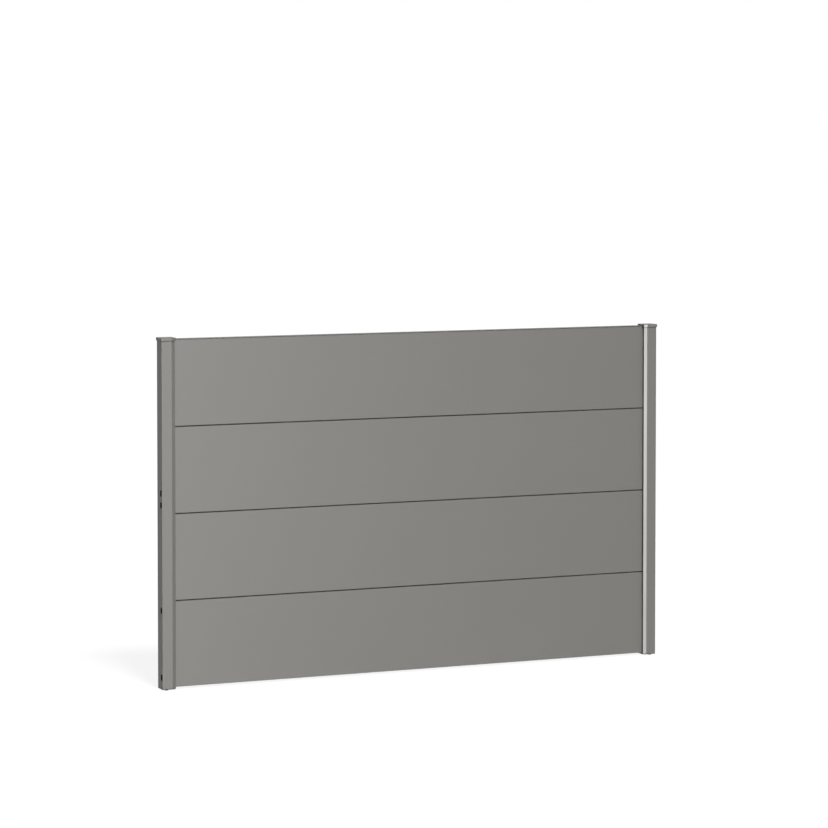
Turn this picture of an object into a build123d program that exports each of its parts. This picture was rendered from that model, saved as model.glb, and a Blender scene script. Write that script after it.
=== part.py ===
from build123d import *
import os

os.makedirs("parts", exist_ok=True)

# Privacy screen panel: four hollow aluminium planks stacked between two slotted posts.
# X runs along the panel, -Y is the front, +Z is up, and z = 0 is the underside of the base plugs' feet.

# Whole panel: length over the posts, height from the feet to the caps' tops
panel_length = 1487.0
panel_height = 950.5

# Planks
plank_count = 4
plank_thickness = 20.0
plank_skin = 1.5
plank_edge_round = 0.8
groove_width = 9.0
groove_depth = 10.0
stiffener_count = 2

# Strips between, above and below the planks
seam = 2.6
strip_fit = 0.2
strip_wall = 1.4
strip_shoulder = 1.0
tongue_height = 8.5
tongue_lead = 0.8
top_joint = 1.2
top_edge = 1.3
top_edge_round = 0.4

# Posts
post_width = 39.0
post_depth = 39.0
post_wall = 2.0
lip_wall = 1.6
post_round = 1.5
bevel_width = 9.7
bevel_drop = 2.4
bevel_blend = 4.0
lip_round = 1.0
channel_depth = 16.0
chamber_round = 0.8
end_gap = 3.0

# Screw ports inside each post
screw_shank = 4.0
screw_fit = 0.1
port_wall = 1.6
port_mouth = 2.4

# Slots in the posts' outer walls, as heights of their centres above the posts' lower ends
slot_width = 8.5
slot_length = 15.0
slot_setback = 7.5
slot_heights = (30.0, 211.0, 495.0, 527.0)

# Gaskets in the posts' channels
gasket_gap = 1.5
gasket_width = 5.0
gasket_base = 0.8
gasket_rib = 1.2
rib_slope = 70.0
gasket_inset = 1.0

# Base plugs, their two feet each, and the pads that carry the planks
base_plate = 3.0
base_edge = 1.0
foot_size = 8.5
foot_height = 2.5
foot_round = 2.0
foot_edge = 0.6
foot_inset = 14.0
foot_spread = 20.0
pad_height = 1.5
pad_length = 11.0
pad_side = 1.0

# Caps
cap_plate = 3.5
cap_overhang = 2.5
cap_skirt = 4.5
cap_fit = 0.3
cap_edge_round = 0.8

# Fins that press the plugs and caps into the posts
fin_thickness = 1.6
fin_length = 14.0
side_fin = 14.8
fin_fit = 0.15
fin_lead = 0.5

# Base screws
screw_length = 24.0
screw_head = 8.4
screw_tip = 4.0
socket_size = 3.0
socket_depth = 1.4

# Places that follow from the sizes above
post_bottom = foot_height + base_plate
plank_bottom = post_bottom + pad_height
post_top = panel_height - cap_plate
stack_top = post_top - top_edge - top_joint
plank_pitch = (stack_top - plank_bottom + seam) / plank_count
plank_face = plank_pitch - seam
channel_width = plank_thickness + 2 * gasket_gap
infill_length = panel_length - 2 * (post_width - channel_depth) - 2 * end_gap
outer_face = -panel_length / 2
front_face = -post_depth / 2
port_bore = screw_shank + 2 * screw_fit
port_outer = port_bore + 2 * port_wall
channel_floor = post_width - channel_depth
web_face = channel_floor - post_wall
port_seat = (port_bore + port_wall) / 2
web_port = (web_face - port_seat, 0.0)
corner_port = (post_wall + port_seat, post_depth / 2 - post_wall - port_seat)
tongue_width = groove_width - 2 * strip_fit
shoulder_width = groove_width + 2 * strip_shoulder

left_plan = Plane(origin=(outer_face, 0, 0), x_dir=(1, 0, 0), z_dir=(0, 0, 1))
infill_start = Plane(origin=(-infill_length / 2, 0, 0), x_dir=(0, 1, 0), z_dir=(1, 0, 0))


def raised(plane, height):
    """The same plane, with its origin lifted by a height along +Z."""
    return Plane(origin=plane.origin + Vector(0, 0, height), x_dir=plane.x_dir, z_dir=plane.z_dir)


def post_outline():
    """Plan of the post without its channel: x from the outer face inwards, y from front to back."""
    front = post_depth / 2
    with BuildSketch() as plan:
        with BuildLine():
            Polyline(
                (0, -front),
                (post_width - bevel_width, -front),
                (post_width, bevel_drop - front),
                (post_width, front - bevel_drop),
                (post_width - bevel_width, front),
                (0, front),
                close=True,
            )
        make_face()
        fillet(plan.vertices().group_by(Axis.X)[-1], radius=lip_round)
        fillet(plan.vertices().group_by(Axis.X)[1], radius=bevel_blend)
        fillet(plan.vertices().group_by(Axis.X)[0], radius=post_round)
    return plan.sketch


def lip_chamber():
    """Plan of the hollow inside the front lip, whose front wall follows the bevel."""
    with BuildSketch() as plan:
        add(post_outline())
        offset(amount=-lip_wall, kind=Kind.INTERSECTION)
        with Locations((channel_floor, -channel_width / 2 - lip_wall)):
            Rectangle(channel_depth, post_depth, align=(Align.MIN, Align.MAX), mode=Mode.INTERSECT)
    return plan.sketch


# Left post: an extruded profile with a main chamber, two hollow lips that
# form the planks' channel, two screw ports and four slots near its front edge
with BuildPart() as left_post:
    with BuildSketch(raised(left_plan, post_bottom)):
        add(post_outline())
        with Locations((channel_floor, 0)):
            Rectangle(channel_depth, channel_width, align=(Align.MIN, Align.CENTER), mode=Mode.SUBTRACT)
        with Locations(((post_wall + web_face) / 2, 0)):
            RectangleRounded(
                web_face - post_wall,
                post_depth - 2 * post_wall,
                chamber_round,
                mode=Mode.SUBTRACT,
            )
        add(lip_chamber(), mode=Mode.SUBTRACT)
        add(mirror(lip_chamber(), about=Plane.XZ, mode=Mode.PRIVATE), mode=Mode.SUBTRACT)
        with Locations(web_port, corner_port):
            Circle(port_outer / 2)
        with Locations((post_wall, post_depth / 2 - post_wall)):
            Rectangle(port_seat, port_seat, align=(Align.MIN, Align.MAX))
        with Locations(web_port, corner_port):
            Circle(port_bore / 2, mode=Mode.SUBTRACT)
        with Locations(web_port):
            Rectangle(port_outer, port_mouth, align=(Align.MAX, Align.CENTER), mode=Mode.SUBTRACT)
        with Locations(corner_port):
            Rectangle(port_mouth, port_outer, align=(Align.CENTER, Align.MAX), mode=Mode.SUBTRACT)
    extrude(amount=post_top - post_bottom)
    with BuildSketch(Plane(origin=(outer_face, 0, 0), x_dir=(0, 1, 0), z_dir=(1, 0, 0))):
        with Locations([(front_face + slot_setback, post_bottom + height) for height in slot_heights]):
            SlotOverall(slot_length, slot_width, rotation=90)
    extrude(amount=post_wall + chamber_round, mode=Mode.SUBTRACT)

# Gaskets: ribbed rubber strips pressed between the channel's sides and the planks
with BuildPart() as left_rear_gasket:
    with BuildSketch(raised(left_plan, plank_bottom)):
        wall = channel_width / 2
        gasket_mid = post_width - gasket_inset - gasket_width / 2
        with Locations((gasket_mid, wall - gasket_base / 2)):
            Rectangle(gasket_width, gasket_base)
        rib_height = gasket_gap - gasket_base
        rib_offset = (gasket_width - gasket_rib) / 2
        with Locations(
            (gasket_mid - rib_offset, wall - gasket_base),
            (gasket_mid + rib_offset, wall - gasket_base),
        ):
            Trapezoid(gasket_rib, rib_height, rib_slope, rotation=180, align=(Align.CENTER, Align.MIN))
    extrude(amount=post_top - plank_bottom)

with BuildPart() as left_front_gasket:
    mirror(left_rear_gasket.part, about=Plane.XZ)


def chamber_fins():
    """Plan of the thin fins that press against the main chamber's walls, clear of the screw ports."""
    near = post_wall + fin_fit
    far = web_face - fin_fit
    side = post_depth / 2 - post_wall - fin_fit
    port_room = port_outer / 2 + fin_fit + chamber_round
    with BuildSketch() as plan:
        with Locations(((near + far) / 2, -side)):
            Rectangle(far - near - 2 * chamber_round, fin_thickness, align=(Align.CENTER, Align.MIN))
        with Locations((far - chamber_round, side)):
            Rectangle(
                far - chamber_round - corner_port[0] - port_room,
                fin_thickness,
                align=(Align.MAX, Align.MAX),
            )
        with Locations((near, 0)):
            Rectangle(fin_thickness, side_fin, align=(Align.MIN, Align.CENTER))
        for end in (-1, 1):
            with Locations((far, end * (port_room + side - fin_thickness) / 2)):
                Rectangle(
                    fin_thickness,
                    side - fin_thickness - port_room - chamber_round,
                    align=(Align.MAX, Align.CENTER),
                )
    return plan.sketch


# Left base plug: a plastic plate with two feet under the post, held by fins and two screws
with BuildPart() as left_base_plug:
    with BuildSketch(raised(left_plan, foot_height)):
        add(post_outline())
    extrude(amount=base_plate)
    chamfer(left_base_plug.faces().sort_by(Axis.Z)[0].outer_wire().edges(), length=base_edge)
    with BuildSketch(raised(left_plan, post_bottom)):
        add(chamber_fins())
    extrude(amount=fin_length)
    chamfer(left_base_plug.faces().group_by(Axis.Z)[-1].edges(), length=fin_lead)
    with BuildSketch(left_plan):
        with Locations((foot_inset, -foot_spread / 2), (foot_inset, foot_spread / 2)):
            RectangleRounded(foot_size, foot_size, foot_round)
    extrude(amount=foot_height)
    chamfer(left_base_plug.faces().group_by(Axis.Z)[0].edges(), length=foot_edge)
    with Locations(raised(left_plan, foot_height)):
        with Locations((*web_port, 0), (*corner_port, 0)):
            with Locations(Rotation(180, 0, 0)):
                CounterSinkHole(
                    radius=port_bore / 2,
                    counter_sink_radius=screw_head / 2 + screw_fit,
                    depth=base_plate + fin_length,
                )

# Base screws: countersunk self-tapping screws, driven from below into the screw ports
with BuildPart() as left_base_screws:
    with BuildSketch(Plane.XZ):
        with BuildLine():
            Polyline(
                (0, 0),
                (screw_head / 2, 0),
                (screw_shank / 2, (screw_head - screw_shank) / 2),
                (screw_shank / 2, screw_length - screw_tip),
                (0, screw_length),
                close=True,
            )
        make_face()
    revolve(axis=Axis.Z)
    with BuildSketch(Plane.XY):
        RegularPolygon(socket_size / 2, 6)
    extrude(amount=socket_depth, mode=Mode.SUBTRACT)
    screw = left_base_screws.part
    with Locations([(outer_face + x, y, foot_height) for x, y in (web_port, corner_port)]):
        add(screw, mode=Mode.REPLACE)

# Pads: rubber blocks on the base plugs, inside the channels, that carry the planks
with BuildPart() as left_pad:
    with BuildSketch(raised(left_plan, post_bottom)):
        with Locations((channel_floor + channel_depth / 2, 0)):
            Rectangle(pad_length, channel_width - 2 * pad_side)
    extrude(amount=pad_height)

# Left cap: a cast lid whose skirt laps over the post and whose fins press into its chamber
with BuildPart() as left_cap:
    with BuildSketch(raised(left_plan, post_top - cap_skirt)):
        add(post_outline())
        offset(amount=cap_overhang, kind=Kind.INTERSECTION)
    extrude(amount=cap_skirt + cap_plate)
    fillet(left_cap.faces().sort_by(Axis.Z)[-1].edges(), radius=cap_edge_round)
    with BuildSketch(raised(left_plan, post_top - cap_skirt)):
        add(post_outline())
        offset(amount=cap_fit, kind=Kind.INTERSECTION)
        with Locations((post_width / 2, 0)):
            Rectangle(post_width, channel_width, align=(Align.MIN, Align.CENTER))
    extrude(amount=cap_skirt, mode=Mode.SUBTRACT)
    with BuildSketch(raised(left_plan, post_top - fin_length)):
        add(chamber_fins())
    extrude(amount=fin_length)
    chamfer(left_cap.faces().group_by(Axis.Z)[0].edges(), length=fin_lead)

# Planks: hollow extrusions with a groove along both long edges and inner stiffeners
planks = []
for number in range(1, plank_count + 1):
    with BuildPart() as plank:
        with BuildSketch(raised(infill_start, plank_bottom + (number - 1) * plank_pitch)):
            with Locations((0, plank_face / 2)):
                Rectangle(plank_thickness, plank_face)
                Rectangle(plank_thickness - 2 * plank_skin, plank_face - 2 * plank_skin, mode=Mode.SUBTRACT)
            for height in [plank_face * n / (stiffener_count + 1) for n in range(1, stiffener_count + 1)]:
                with Locations((0, height)):
                    Rectangle(plank_thickness, plank_skin)
            for edge, side in ((0, Align.MIN), (plank_face, Align.MAX)):
                with Locations((0, edge)):
                    Rectangle(
                        groove_width + 2 * plank_skin,
                        groove_depth + plank_skin,
                        align=(Align.CENTER, side),
                    )
                    Rectangle(groove_width, groove_depth, align=(Align.CENTER, side), mode=Mode.SUBTRACT)
        extrude(amount=infill_length)
        long_edges = plank.edges().filter_by(Axis.X)
        corners = long_edges.group_by(Axis.Y)[0] + long_edges.group_by(Axis.Y)[-1]
        fillet(corners, radius=plank_edge_round)
    planks.append(plank)


def tongue(height, reach, upward=True):
    """Section of one hollow tongue whose root lies at a height, with chamfered leading edges."""
    side = Align.MIN if upward else Align.MAX
    with BuildSketch() as section:
        with Locations((0, height)):
            Rectangle(tongue_width, reach, align=(Align.CENTER, side))
        tip = section.vertices().group_by(Axis.Y)[-1 if upward else 0]
        chamfer(tip, length=tongue_lead)
    return section.sketch


# Joint strips: dark splines that sit in two planks' grooves and set the shadow gap
joint_strips = []
for number in range(1, plank_count):
    with BuildPart() as joint_strip:
        with BuildSketch(raised(infill_start, plank_bottom + number * plank_pitch - seam)):
            Rectangle(shoulder_width, seam, align=(Align.CENTER, Align.MIN))
            add(tongue(0, tongue_height, upward=False))
            add(tongue(seam, tongue_height))
            with Locations((0, seam / 2)):
                Rectangle(
                    tongue_width - 2 * strip_wall,
                    seam + 2 * tongue_height - 2 * strip_wall,
                    mode=Mode.SUBTRACT,
                )
        extrude(amount=infill_length)
    joint_strips.append(joint_strip)

# Top strip: closes the top plank's groove and stands off it by a thin shadow joint
with BuildPart() as top_strip:
    with BuildSketch(raised(infill_start, stack_top)):
        Rectangle(shoulder_width, top_joint, align=(Align.CENTER, Align.MIN))
        with Locations((0, top_joint)):
            Rectangle(plank_thickness, top_edge, align=(Align.CENTER, Align.MIN))
        add(tongue(0, tongue_height, upward=False))
        with Locations((0, -tongue_height)):
            Rectangle(
                tongue_width - 2 * strip_wall,
                tongue_height - strip_wall + top_joint,
                align=(Align.CENTER, Align.MIN),
                mode=Mode.SUBTRACT,
            )
    extrude(amount=infill_length)
    top_edges = top_strip.faces().sort_by(Axis.Z)[-1].edges().filter_by(Axis.X)
    fillet(top_edges, radius=top_edge_round)

# Bottom strip: closes the bottom plank's groove, flush with its lower edge
with BuildPart() as bottom_strip:
    with BuildSketch(raised(infill_start, plank_bottom)):
        add(tongue(0, tongue_height))
        with Locations((0, strip_wall)):
            Rectangle(
                tongue_width - 2 * strip_wall,
                tongue_height,
                align=(Align.CENTER, Align.MIN),
                mode=Mode.SUBTRACT,
            )
    extrude(amount=infill_length)

# Each end piece on the left has a mirrored twin on the right
for name, piece in (
    ("post", left_post),
    ("cap", left_cap),
    ("base_plug", left_base_plug),
    ("front_gasket", left_front_gasket),
    ("rear_gasket", left_rear_gasket),
    ("pad", left_pad),
):
    with BuildPart() as twin:
        mirror(piece.part, about=Plane.YZ)
    for side, body in (("left_", piece), ("right_", twin)):
        body.part.label = side + name
        export_step(body.part, "parts/" + side + name + ".step")

with BuildPart() as base_screws:
    add(left_base_screws.part)
    mirror(left_base_screws.part, about=Plane.YZ)
base_screws.part.label = "base_screws"
export_step(base_screws.part, "parts/base_screws.step")

for number, plank in enumerate(planks, start=1):
    plank.part.label = f"plank_{number}"
    export_step(plank.part, f"parts/plank_{number}.step")

for number, joint_strip in enumerate(joint_strips, start=1):
    joint_strip.part.label = f"joint_strip_{number}"
    export_step(joint_strip.part, f"parts/joint_strip_{number}.step")

for name, strip in (("top_strip", top_strip), ("bottom_strip", bottom_strip)):
    strip.part.label = name
    export_step(strip.part, f"parts/{name}.step")
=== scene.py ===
import math

import bpy
import numpy as np
from mathutils import Matrix, Vector


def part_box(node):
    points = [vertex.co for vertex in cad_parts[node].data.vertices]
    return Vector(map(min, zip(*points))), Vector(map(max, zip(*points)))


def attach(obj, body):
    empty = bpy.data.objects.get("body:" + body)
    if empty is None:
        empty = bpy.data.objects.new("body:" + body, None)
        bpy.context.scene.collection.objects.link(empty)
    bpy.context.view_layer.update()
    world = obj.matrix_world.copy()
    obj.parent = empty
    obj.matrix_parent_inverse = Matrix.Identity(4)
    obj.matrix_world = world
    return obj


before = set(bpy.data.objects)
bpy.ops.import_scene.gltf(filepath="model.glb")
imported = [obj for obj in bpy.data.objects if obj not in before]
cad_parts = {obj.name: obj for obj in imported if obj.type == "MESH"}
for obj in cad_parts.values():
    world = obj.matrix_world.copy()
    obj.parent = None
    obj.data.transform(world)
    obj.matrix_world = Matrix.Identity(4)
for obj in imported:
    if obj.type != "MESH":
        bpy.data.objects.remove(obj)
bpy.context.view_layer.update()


# Posts. Each is one aluminium extrusion: a box whose two bevelled lips form the channel for the
# planks, with four slots punched through its outer wall for fixing bolts. Both are powder coated
# after punching, so the satin coat also covers the walls inside.
class Reading:
    """A value that varies over a surface. Arithmetic on it adds Math nodes to its material."""

    def __init__(self, finish, socket):
        self.finish = finish
        self.socket = socket

    def combined(self, operation, first, second):
        return self.finish.node("ShaderNodeMath", {"operation": operation}, {0: first, 1: second})

    def __add__(self, other):
        return self.combined("ADD", self, other)

    def __radd__(self, other):
        return self.combined("ADD", other, self)

    def __sub__(self, other):
        return self.combined("SUBTRACT", self, other)

    def __rsub__(self, other):
        return self.combined("SUBTRACT", other, self)

    def __mul__(self, other):
        return self.combined("MULTIPLY", self, other)

    def __rmul__(self, other):
        return self.combined("MULTIPLY", other, self)


class Finish:
    """The nodes of one material, or of the surroundings."""

    def __init__(self, owner):
        owner.use_nodes = True
        owner.node_tree.nodes.clear()
        self.owner = owner
        self.tree = owner.node_tree

    def node(self, kind, settings=None, sockets=None, output=0):
        """Adds a node of any type: its settings first, then a value or a link for each socket."""
        made = self.tree.nodes.new(kind)
        for name, value in (settings or {}).items():
            setattr(made, name, value)
        for name, value in (sockets or {}).items():
            if isinstance(value, Reading):
                self.tree.links.new(value.socket, made.inputs[name])
            else:
                made.inputs[name].default_value = value
        return Reading(self, made.outputs[output]) if made.outputs else self.owner

    def noise(self, waves, stretch=(1.0, 1.0, 1.0), detail=2.0):
        """Smooth noise around 0.5, with so many waves to the metre before it is stretched."""
        point = self.node("ShaderNodeTexCoord", output="Object")
        spread = self.node("ShaderNodeMapping", sockets={"Vector": point, "Scale": stretch})
        return self.node("ShaderNodeTexNoise",
                         sockets={"Vector": spread, "Scale": waves, "Detail": detail},
                         output="Fac")

    def between(self, share, first, second):
        """The colour that lies between two colours, as far along as the share says."""
        return self.node("ShaderNodeMix", {"data_type": "RGBA"},
                         {0: share, 6: (*first, 1.0), 7: (*second, 1.0)}, output=2)

    def bumped(self, height, depth):
        """The direction of a surface whose height from 0 to 1 stands for a depth in metres."""
        return self.node("ShaderNodeBump", sockets={"Height": height, "Distance": depth},
                         output="Normal")

    def surfaced(self, **sockets):
        """Ends the nodes in one Principled surface and gives the material back."""
        named = {name.replace("_", " "): value for name, value in sockets.items()}
        shader = self.node("ShaderNodeBsdfPrincipled", sockets=named)
        return self.node("ShaderNodeOutputMaterial", sockets={"Surface": shader})


def dress(material, *nodes):
    """Gives a CAD node's object one material on every face."""
    for name in nodes:
        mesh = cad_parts[name].data
        mesh.materials.clear()
        mesh.materials.append(material)


def powder_coat(name, tone, roughness, peel_waves):
    """Satin powder coat: faint cloudiness, fine pigment grain, and orange peel 8 microns deep."""
    coat = Finish(bpy.data.materials.new(name))
    cloud = coat.noise(waves=4.0)
    grain = coat.noise(waves=1800.0)
    wear = coat.noise(waves=9.0)
    peel = coat.noise(waves=peel_waves, detail=3.0)
    shade = 0.5 + (cloud - 0.5) * 0.5 + (grain - 0.5) * 0.6
    light = tuple(1.05 * channel for channel in tone)
    dark = tuple(0.95 * channel for channel in tone)
    return coat.surfaced(
        Base_Color=coat.between(shade, dark, light),
        Roughness=roughness + (wear - 0.5) * 0.03,
        Normal=coat.bumped(peel, depth=0.000008),
        Specular_IOR_Level=0.15,
    )


coat_tone = (0.163, 0.157, 0.141)
extrusion_coat = powder_coat("satin_coat_on_extrusions", coat_tone,
                             roughness=0.42, peel_waves=450.0)
dress(extrusion_coat, "left_post", "right_post")


# Base plugs. Plates of moulded grey plastic that close the posts' lower ends and carry the panel's
# weight on two feet each. Fins press into the post, and two screws hold each plug.
def moulded_plastic(name, tone, roughness, grain_waves, stretch=(1.0, 1.0, 1.0)):
    """Matt plastic with a fine dull grain 0.03 mm deep, drawn out where it was extruded."""
    plastic = Finish(bpy.data.materials.new(name))
    grain = plastic.noise(grain_waves, stretch, detail=3.0)
    rub = plastic.noise(60.0, stretch)
    light = tuple(1.15 * channel for channel in tone)
    dark = tuple(0.85 * channel for channel in tone)
    return plastic.surfaced(
        Base_Color=plastic.between(grain, dark, light),
        Roughness=roughness + (rub - 0.5) * 0.08,
        Normal=plastic.bumped(grain, depth=0.00003),
        Specular_IOR_Level=0.05,
    )


plug_plastic = moulded_plastic("grey_plug_plastic", tone=(0.19, 0.188, 0.18),
                               roughness=0.5, grain_waves=700.0)
dress(plug_plastic, "left_base_plug", "right_base_plug")

# Base screws. Self-tapping screws of plain stainless steel, turned and rolled, with a hexagon
# socket in the head. They go up through the base plugs into the posts' screw ports.
steel = Finish(bpy.data.materials.new("screw_steel"))
turning = steel.noise(waves=2500.0, stretch=(1.0, 1.0, 0.1), detail=3.0)
screw_steel = steel.surfaced(
    Base_Color=steel.between(turning, (0.5, 0.5, 0.49), (0.62, 0.62, 0.6)),
    Metallic=1.0,
    Roughness=0.3 + (turning - 0.5) * 0.12,
    Normal=steel.bumped(turning, depth=0.00001),
)
dress(screw_steel, "base_screws")


# Gaskets and pads. Soft black rubber: two ribbed gaskets line each post's channel and press on the
# planks, and a pad on each base plug carries the bottom plank.
def black_rubber(name, bloom_waves):
    """Matt black rubber with a faint grey bloom and a skin roughened by 0.02 mm."""
    rubber = Finish(bpy.data.materials.new(name))
    bloom = rubber.noise(bloom_waves, detail=4.0)
    skin = rubber.noise(waves=1200.0)
    return rubber.surfaced(
        Base_Color=rubber.between(bloom, (0.012, 0.012, 0.012), (0.026, 0.026, 0.027)),
        Roughness=0.72 + (bloom - 0.5) * 0.1,
        Normal=rubber.bumped(skin, depth=0.00002),
        Specular_IOR_Level=0.02,
    )


sealing_rubber = black_rubber("sealing_rubber", bloom_waves=120.0)
dress(sealing_rubber, "left_front_gasket", "left_rear_gasket")
dress(sealing_rubber, "right_front_gasket", "right_rear_gasket")
dress(sealing_rubber, "left_pad", "right_pad")

# Planks. Four equal hollow aluminium extrusions with small rounded edges and a groove along both
# long edges. They have the posts' coat, and the posts' channels hold them by their ends.
dress(extrusion_coat, "plank_1", "plank_2", "plank_3", "plank_4")

# Joint strips and bottom strip. Extruded black plastic splines in the planks' grooves. Their
# shoulders set the narrow dark joints between the planks, and the bottom one closes the lowest
# groove.
strip_plastic = moulded_plastic("black_strip_plastic", tone=(0.014, 0.014, 0.0135), roughness=0.6,
                                grain_waves=900.0, stretch=(0.05, 1.0, 1.0))
dress(strip_plastic, "joint_strip_1", "joint_strip_2", "joint_strip_3", "bottom_strip")

# Top strip. A coated aluminium strip that closes the top plank's groove. It shows as a fine edge
# above that plank.
dress(extrusion_coat, "top_strip")


# Cap shadow cords. A thin round cord of the gaskets' black rubber lies under each cap's skirt,
# pressed against the post, from one lip round the outer side to the other. It is painted shadow:
# a dark cord where there is only shade under the skirt, drawn as the fine dark line below the cap.
def cap_shadow_cord(name, post, inwards, thickness=0.001):
    """An open cord round the post's plan, with its bevels and rounded corners, under the skirt.

    In the plan, x counts inwards from the post's outer side, and y is 0 at the post's middle. At
    each corner the cord turns about the centre of the corner's rounding, half its own thickness
    away from the post.
    """
    low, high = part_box(post)
    outer_side = low[0] if inwards > 0 else high[0]
    front = (high[1] - low[1]) / 2
    post_width = 0.039
    bevel_start = 0.0293
    bevel_drop = 0.0024
    lip_edge = 0.0117
    skirt = 0.0045
    lip_rounding = 0.001
    bevel_rounding = 0.004
    post_rounding = 0.0015
    away = thickness / 2
    height = high[2] - skirt - away
    corners = [
        (post_width, front - bevel_drop, lip_rounding),
        (bevel_start, front, bevel_rounding),
        (0.0, front, post_rounding),
        (0.0, -front, post_rounding),
        (bevel_start, -front, bevel_rounding),
        (post_width, bevel_drop - front, lip_rounding),
    ]
    route = [(post_width, lip_edge), *((x, y) for x, y, _ in corners), (post_width, -lip_edge)]
    arc_steps = 6
    line = [(post_width + away, lip_edge)]
    for (x, y, rounding), before, after in zip(corners, route, route[2:]):
        corner = Vector((x, y))
        coming = (corner - Vector(before)).normalized()
        going = (Vector(after) - corner).normalized()
        turn = math.atan2(coming.cross(going), coming.dot(going))
        centre = corner + (going - coming).normalized() * rounding / math.cos(turn / 2)
        for step in range(arc_steps + 1):
            out = Matrix.Rotation(turn * step / arc_steps, 2) @ Vector((coming.y, -coming.x))
            line.append(centre + out * (rounding + away))
    line.append((post_width + away, -lip_edge))
    cord = bpy.data.curves.new(name, "CURVE")
    cord.dimensions = "3D"
    cord.bevel_depth = away
    cord.bevel_resolution = 2
    cord.use_fill_caps = True
    spline = cord.splines.new("POLY")
    spline.points.add(len(line) - 1)
    for point, (x, y) in zip(spline.points, line):
        point.co = (outer_side + inwards * x, y, height, 1.0)
    cord.materials.append(sealing_rubber)
    shadow_cord = bpy.data.objects.new(name, cord)
    bpy.context.scene.collection.objects.link(shadow_cord)
    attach(shadow_cord, "root")


# These cords are painted shadow: they stand in for the shade under the caps' skirts.
cap_shadow_cord("left_cap_shadow_cord", "left_post", inwards=1.0)
cap_shadow_cord("right_cap_shadow_cord", "right_post", inwards=-1.0)

# Caps. Flat die-cast aluminium caps with a short skirt that laps over the post's end, pressed in
# by four fins. They have the posts' coat, a little smoother because the casting under it is.
casting_coat = powder_coat("satin_coat_on_castings", coat_tone, roughness=0.4, peel_waves=350.0)
dress(casting_coat, "left_cap", "right_cap")


# Slot linings. Each slot in the posts' outer walls is lined with the gaskets' black rubber, pushed
# in from outside, with a flat rim there. It is painted shade: a dark lining on the slot's edge and
# walls where there is only the shade inside the post. It leaves the slot open for its bolt.
def slot_shade_linings(name, post, inwards):
    """Four rings in one mesh: a closed profile carried round each slot.

    At the angle a round the slot's middle, a profile point (away, depth) lies at
    y = (round_end + away) cos a and z = (round_end + away) sin a, the latter moved by half the
    straight side, up where sin a is positive and down elsewhere. It lies as deep in the post's
    wall as it says, and outside where its depth is negative.
    """
    low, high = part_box(post)
    outer_side = low[0] if inwards > 0 else high[0]
    slot_heights = np.array([0.030, 0.211, 0.495, 0.527])
    setback = 0.0075
    round_end = 0.00425
    half_straight = 0.00325
    inner_end = 0.0022
    lining = 0.0002
    rim_width = 0.0015
    rim_height = 0.0004
    chamfer = 0.0002
    profile = np.array([
        (0.0, inner_end), (-lining, inner_end), (-lining, -rim_height),
        (rim_width - chamfer, -rim_height), (rim_width, chamfer - rim_height),
        (rim_width, 0.0), (0.0, 0.0),
    ])
    steps = 32
    shape = (len(slot_heights), steps, len(profile))
    angle = 2 * np.pi * (np.arange(steps)[:, None] + 0.5) / steps
    away = round_end + profile[:, 0]
    points = np.empty((*shape, 3))
    points[..., 0] = outer_side + inwards * profile[:, 1]
    points[..., 1] = low[1] + setback + np.cos(angle) * away
    points[..., 2] = (low[2] + slot_heights[:, None, None] + np.sin(angle) * away
                      + np.sign(np.sin(angle)) * half_straight)
    here = np.arange(math.prod(shape)).reshape(shape)
    ahead = np.roll(here, -1, axis=1)
    faces = np.stack([here, ahead, np.roll(ahead, -1, axis=2), np.roll(here, -1, axis=2)], axis=-1)
    faces = faces.reshape(-1, 4)
    if inwards < 0:
        faces = faces[:, ::-1]
    mesh = bpy.data.meshes.new(name)
    mesh.from_pydata(points.reshape(-1, 3).tolist(), [], faces.tolist())
    mesh.materials.append(sealing_rubber)
    shade_linings = bpy.data.objects.new(name, mesh)
    bpy.context.scene.collection.objects.link(shade_linings)
    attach(shade_linings, "root")


# These linings are painted shade: they darken the slots' edges and walls as shade would.
slot_shade_linings("left_slot_shade_linings", "left_post", inwards=1.0)
slot_shade_linings("right_slot_shade_linings", "right_post", inwards=-1.0)


# Floor. A pale, matt studio floor. Where the camera or a reflection shows it, most of its
# brightness is its own, so that it meets the white background without a horizon. The rest is lit
# and keeps the panel's faint shadow.
def looked_at(finish):
    """1 where the camera sees it, straight, in gloss or through glass, and 0 to all other light."""
    ray = {name: finish.node("ShaderNodeLightPath", output=name)
           for name in ("Is Camera Ray", "Is Glossy Ray", "Is Transmission Ray")}
    return ray["Is Camera Ray"] + ray["Is Glossy Ray"] + ray["Is Transmission Ray"]


white = (1.0, 1.0, 1.0, 1.0)
paper_tone = (0.6, 0.6, 0.6, 1.0)
own_share = 0.7
reach = 60.0
floor_mesh = bpy.data.meshes.new("studio_floor")
floor_mesh.from_pydata(
    [(-reach, -reach, 0.0), (reach, -reach, 0.0), (reach, reach, 0.0), (-reach, reach, 0.0)],
    [], [(0, 1, 2, 3)])
floor = bpy.data.objects.new("studio_floor", floor_mesh)
bpy.context.scene.collection.objects.link(floor)
floor.visible_shadow = False
paper = Finish(bpy.data.materials.new("studio_floor"))
matt = paper.node("ShaderNodeBsdfDiffuse", sockets={"Color": paper_tone})
glow = paper.node("ShaderNodeEmission", sockets={"Color": white, "Strength": 1.25})
both = paper.node("ShaderNodeMixShader",
                  sockets={0: looked_at(paper) * own_share, 1: matt, 2: glow})
floor_mesh.materials.append(paper.node("ShaderNodeOutputMaterial", sockets={"Surface": both}))

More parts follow.
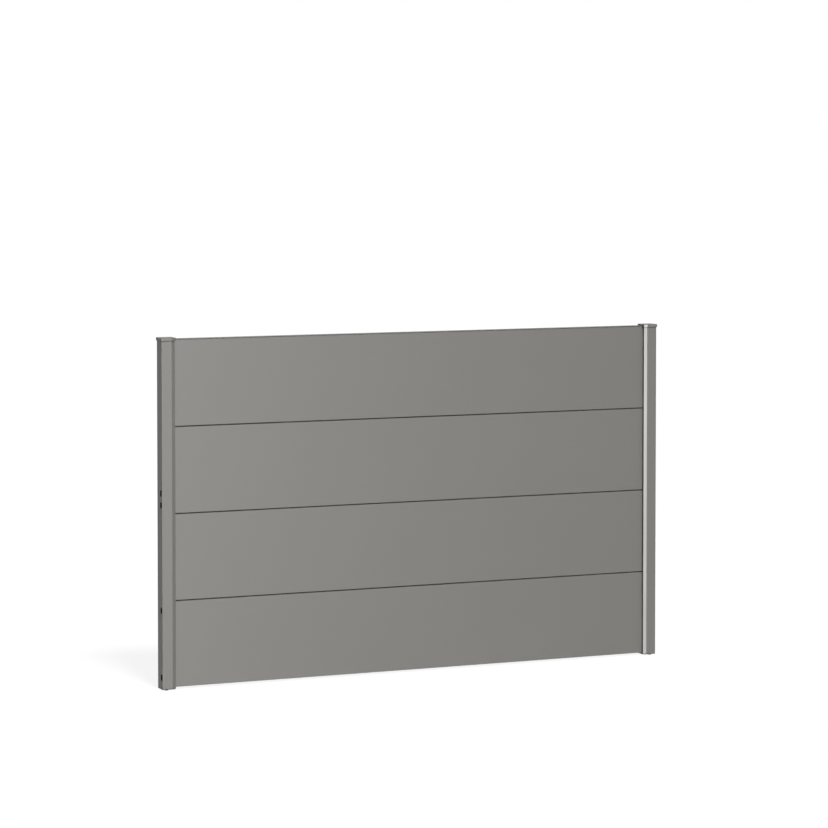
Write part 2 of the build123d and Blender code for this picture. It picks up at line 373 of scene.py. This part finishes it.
# Surroundings. A dim, even room for the light that falls on the panel, and plain white where the
# camera or a reflection shows it.
room = Finish(bpy.data.worlds.new("studio"))
dim = room.node("ShaderNodeBackground", sockets={"Color": white, "Strength": 0.04})
bright = room.node("ShaderNodeBackground", sockets={"Color": white, "Strength": 1.0})
both = room.node("ShaderNodeMixShader", sockets={0: looked_at(room), 1: dim, 2: bright})
bpy.context.scene.world = room.node("ShaderNodeOutputWorld", sockets={"Surface": both})


# Lamps. A soft key high in front and a low one behind light the faces. Two distant softboxes show
# in the coat's gloss alone: the middle one lights the right post's bevel and fades along the
# planks, and the right one lights the left post's bevel.
def lamp(name, azimuth, elevation, strength, width):
    """A distant lamp, as wide as an angle, aimed at the panel's middle from a point round it.

    Azimuth 0 is straight in front and 90 at the right, and all angles are in degrees.
    """
    data = bpy.data.lights.new(name, "SUN")
    data.energy = strength
    data.angle = math.radians(width)
    made = bpy.data.objects.new(name, data)
    bpy.context.scene.collection.objects.link(made)
    distance = 12.0
    middle_height = 0.475
    across = math.radians(azimuth)
    up = math.radians(elevation)
    made.location = (distance * math.sin(across) * math.cos(up),
                     -distance * math.cos(across) * math.cos(up),
                     middle_height + distance * math.sin(up))
    made.rotation_euler = (math.pi / 2 - up, 0.0, across)
    return made


key = lamp("key", azimuth=0.0, elevation=55.0, strength=2.6, width=12.0)
rear = lamp("rear", azimuth=180.0, elevation=9.0, strength=2.0, width=12.0)
for face_light in (key, rear):
    face_light.visible_glossy = False
middle_softbox = lamp("middle_softbox", azimuth=0.0, elevation=-1.5, strength=16.2, width=10.0)
right_softbox = lamp("right_softbox", azimuth=62.0, elevation=-1.5, strength=2.6, width=20.0)
for softbox in (middle_softbox, right_softbox):
    softbox.visible_diffuse = False

# Camera. Left of the panel's middle and a little above it, turned and tilted down towards it. A
# shift brings the panel up to its place in the frame.
lens = bpy.data.cameras.new("camera")
lens.sensor_width = 36.0
lens.lens = 137.0
lens.shift_y = -0.1751
lens.clip_end = 200.0
camera = bpy.data.objects.new("camera", lens)
bpy.context.scene.collection.objects.link(camera)
camera.location = (-3.4173, -8.013, 1.5255)
turned_right = 23.09
tilted_down = 2.66
camera.rotation_euler = (math.radians(90.0 - tilted_down), 0.0, math.radians(-turned_right))
bpy.context.scene.camera = camera
bpy.context.scene.view_settings.view_transform = "Standard"
